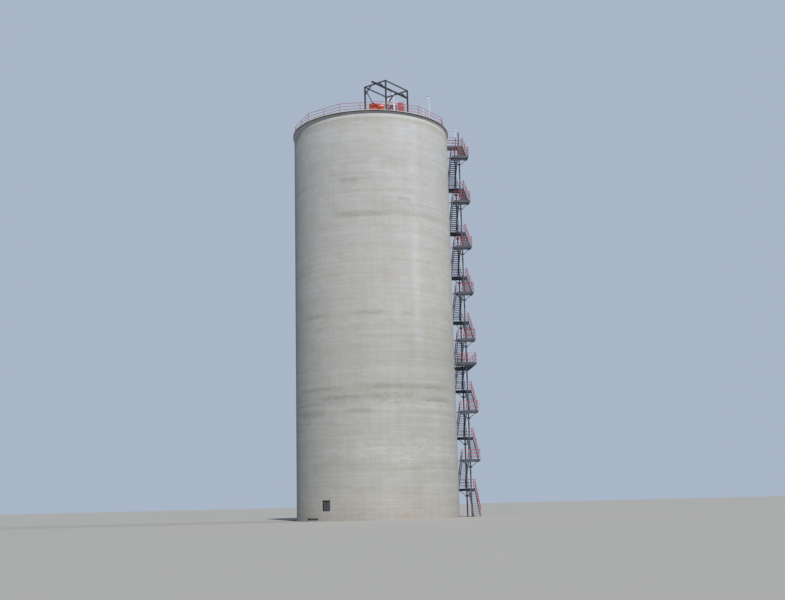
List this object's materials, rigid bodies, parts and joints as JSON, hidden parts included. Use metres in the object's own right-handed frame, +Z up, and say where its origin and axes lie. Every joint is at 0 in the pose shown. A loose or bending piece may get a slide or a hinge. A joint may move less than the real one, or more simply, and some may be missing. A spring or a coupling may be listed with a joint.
{
  "type": "concrete storage silo with stair tower, 1:2 scale model",
  "caption": "Round concrete storage silo with a flat roof, guard rail, roof equipment and an outside switchback stair tower, at half the real size.",
  "frame": {"origin": "middle of the silo's foot on the ground", "axes": "+Z up; +X from the silo's middle towards the stair tower; -Y towards the side shown in the picture"},
  "size_m": [10.5003, 9.3, 24.675],
  "materials": {
    "wall_concrete": "slip-formed concrete with faint level bands and stains",
    "slab_concrete": "floated concrete",
    "grey_steel": "slate grey paint",
    "black_steel": "black paint",
    "red_paint": "red guard rail paint",
    "orange_paint": "orange-red machine paint",
    "galvanised": "galvanised sheet",
    "white_paint": "white paint"
  },
  "bodies": {
    "root": {"wall_segment_1": "wall_concrete", "wall_segment_2": "wall_concrete", "wall_segment_3": "wall_concrete", "wall_segment_4": "wall_concrete", "wall_segment_5": "wall_concrete", "wall_segment_6": "wall_concrete", "wall_segment_7": "wall_concrete", "wall_segment_8": "wall_concrete", "vent_grille": "black_steel", "floor_slab": "slab_concrete", "roof_slab": "slab_concrete", "roof_guard_1": "red_paint", "roof_guard_2": "red_paint", "roof_guard_3": "red_paint", "roof_guard_4": "red_paint", "roof_guard_5": "red_paint", "roof_guard_6": "red_paint", "flight_1": "grey_steel", "flight_2": "grey_steel", "flight_3": "grey_steel", "flight_4": "grey_steel", "flight_5": "grey_steel", "flight_6": "grey_steel", "flight_7": "grey_steel", "flight_8": "grey_steel", "flight_9": "grey_steel", "flight_10": "grey_steel", "flight_11": "grey_steel", "flight_12": "grey_steel", "flight_13": "grey_steel", "flight_14": "grey_steel", "flight_15": "grey_steel", "flight_16": "grey_steel", "near_landings_and_column": "grey_steel", "far_landings_and_column": "grey_steel", "stair_guard_1": "red_paint", "stair_guard_2": "red_paint", "stair_guard_3": "red_paint", "stair_guard_4": "red_paint", "stair_guard_5": "red_paint", "stair_guard_6": "red_paint", "stair_guard_7": "red_paint", "stair_guard_8": "red_paint", "stair_guard_9": "red_paint", "inner_handrail_upper": "red_paint", "inner_handrail_lower": "red_paint", "head_frame": "black_steel", "drive_unit": "orange_paint", "vent_fan": "red_paint", "fill_hood": "galvanised", "rim_lamp_pole": "white_paint", "landing_lamp_pole": "white_paint", "head_lamp_pole": "white_paint", "conduit_stub": "white_paint"}
  },
  "joints": []
}
